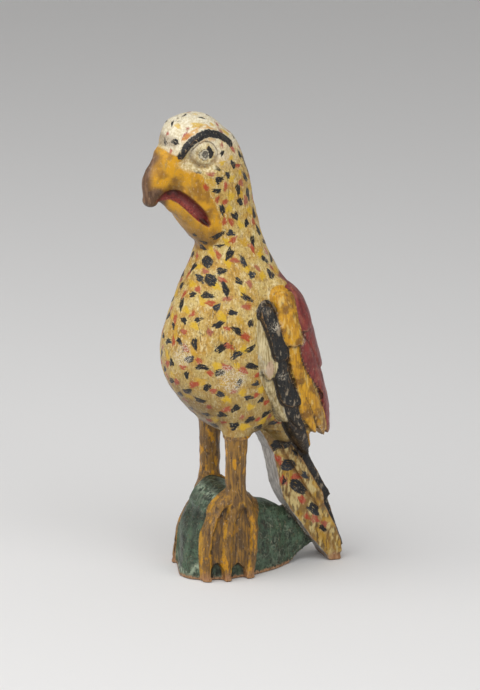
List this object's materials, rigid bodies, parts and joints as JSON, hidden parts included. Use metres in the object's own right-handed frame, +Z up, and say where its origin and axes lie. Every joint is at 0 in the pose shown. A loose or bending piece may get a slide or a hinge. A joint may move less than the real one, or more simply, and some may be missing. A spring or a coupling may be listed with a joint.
{
  "type": "carved bird figure",
  "caption": "Upright parrot carved with its legs, webbed feet, folded wings, tail and mound from one block of wood, painted and speckled",
  "frame": {"origin": "On the floor, midway between the two legs, on the flat underside of the mound", "axes": "+Z up, the bird faces -Y with its tail toward +Y, and +X is the bird's left side"},
  "size_m": [0.0895, 0.1493, 0.3314],
  "materials": {
    "painted_wood": "oil paint under an aged varnish, satin, worn to bare wood at the edges"
  },
  "bodies": {
    "root": {"carved_parrot": "painted_wood"}
  },
  "joints": []
}
